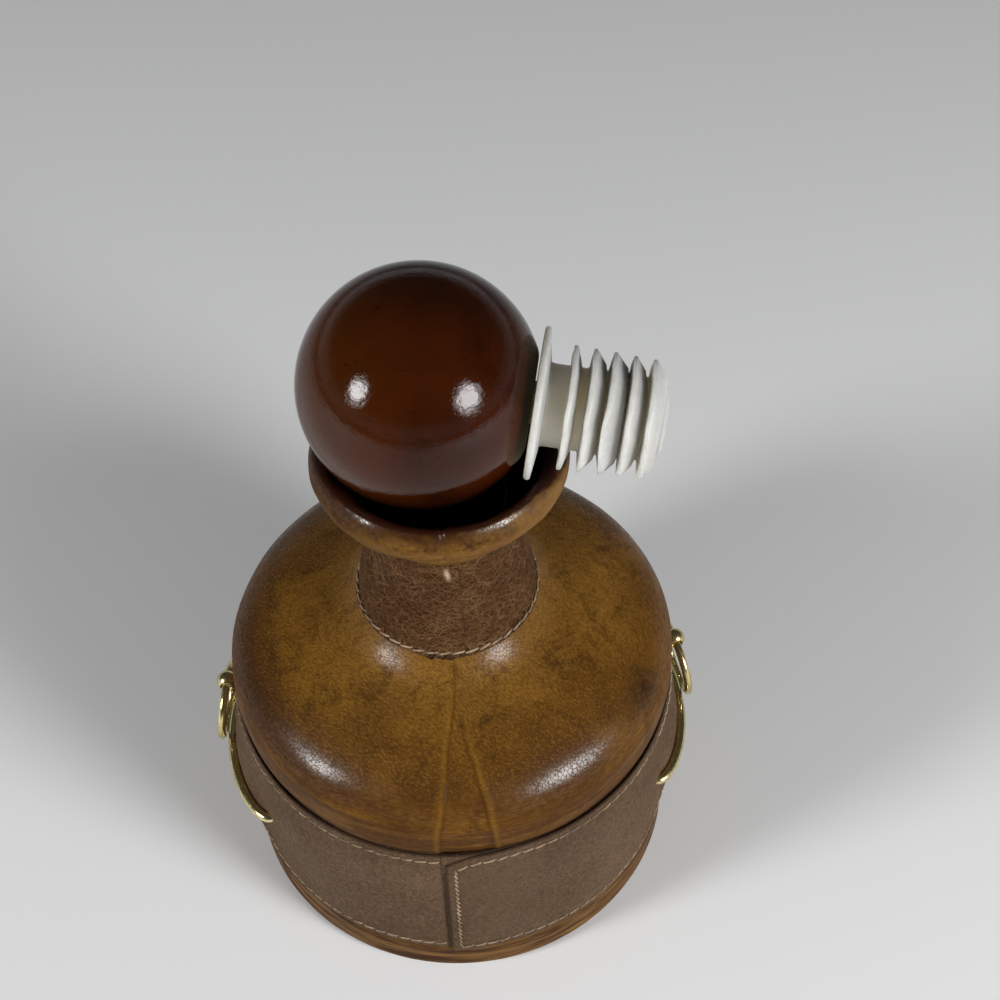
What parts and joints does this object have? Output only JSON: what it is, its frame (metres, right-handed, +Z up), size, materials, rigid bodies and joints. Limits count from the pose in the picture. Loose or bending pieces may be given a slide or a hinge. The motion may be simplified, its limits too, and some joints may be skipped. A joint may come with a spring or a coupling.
{
  "type": "leather-wrapped decanter",
  "caption": "Round glass decanter clad in sewn leather, with brass side bows and hanging rings, a rolled leather rim and a wooden ball stopper with a ribbed plug.",
  "frame": {"origin": "middle of the underside, on the felt pad's lower face", "axes": "+Z up along the neck, +X towards the side that the lying stopper's plug points to, -Y towards the lap in the leather band"},
  "size_m": [0.133, 0.1168, 0.2],
  "materials": {
    "glass": "clear, slightly green",
    "tan_leather": "smooth, polished, mottled",
    "brown_leather": "fine grain, satin, sewn along its edges",
    "dark_leather": "crackled grain, satin",
    "rim_leather": "smooth, polished",
    "plinth_wood": "stained, satin",
    "felt": "napped",
    "brass": "polished, a little tarnished",
    "dark_wood": "dark stain under gloss lacquer",
    "white_plastic": "soft, slightly translucent"
  },
  "bodies": {
    "decanter": {"felt_pad": "felt", "base_plinth": "plinth_wood", "glass_bottle": "glass", "body_band": "brown_leather", "shoulder_cover": "tan_leather", "neck_sleeve": "dark_leather", "mouth_collar": "rim_leather", "left_bow": "brass", "left_post": "brass", "left_burr_front": "brass", "left_burr_back": "brass", "left_burr_post": "brass", "right_bow": "brass", "right_post": "brass", "right_burr_front": "brass", "right_burr_back": "brass", "right_burr_post": "brass"},
    "stopper": {"stopper_ball": "dark_wood", "stopper_plug": "white_plastic"},
    "left_ring": {"left_ring": "brass"},
    "right_ring": {"right_ring": "brass"}
  },
  "joints": [
    {"name": "stopper_lift", "type": "slide", "parent": "decanter", "child": "stopper", "axis": [0, 0, 1], "range_m": [0, 0.09]},
    {"name": "left_ring_swing", "type": "hinge", "parent": "decanter", "child": "left_ring", "pos_m": [-0.06303, 0.00718, 0.048], "axis": [0.1132, 0.9936, 0], "range_deg": [0, 165]},
    {"name": "right_ring_swing", "type": "hinge", "parent": "decanter", "child": "right_ring", "pos_m": [0.06128, 0.01642, 0.048], "axis": [0.2588, -0.9659, 0], "range_deg": [0, 165]}
  ]
}
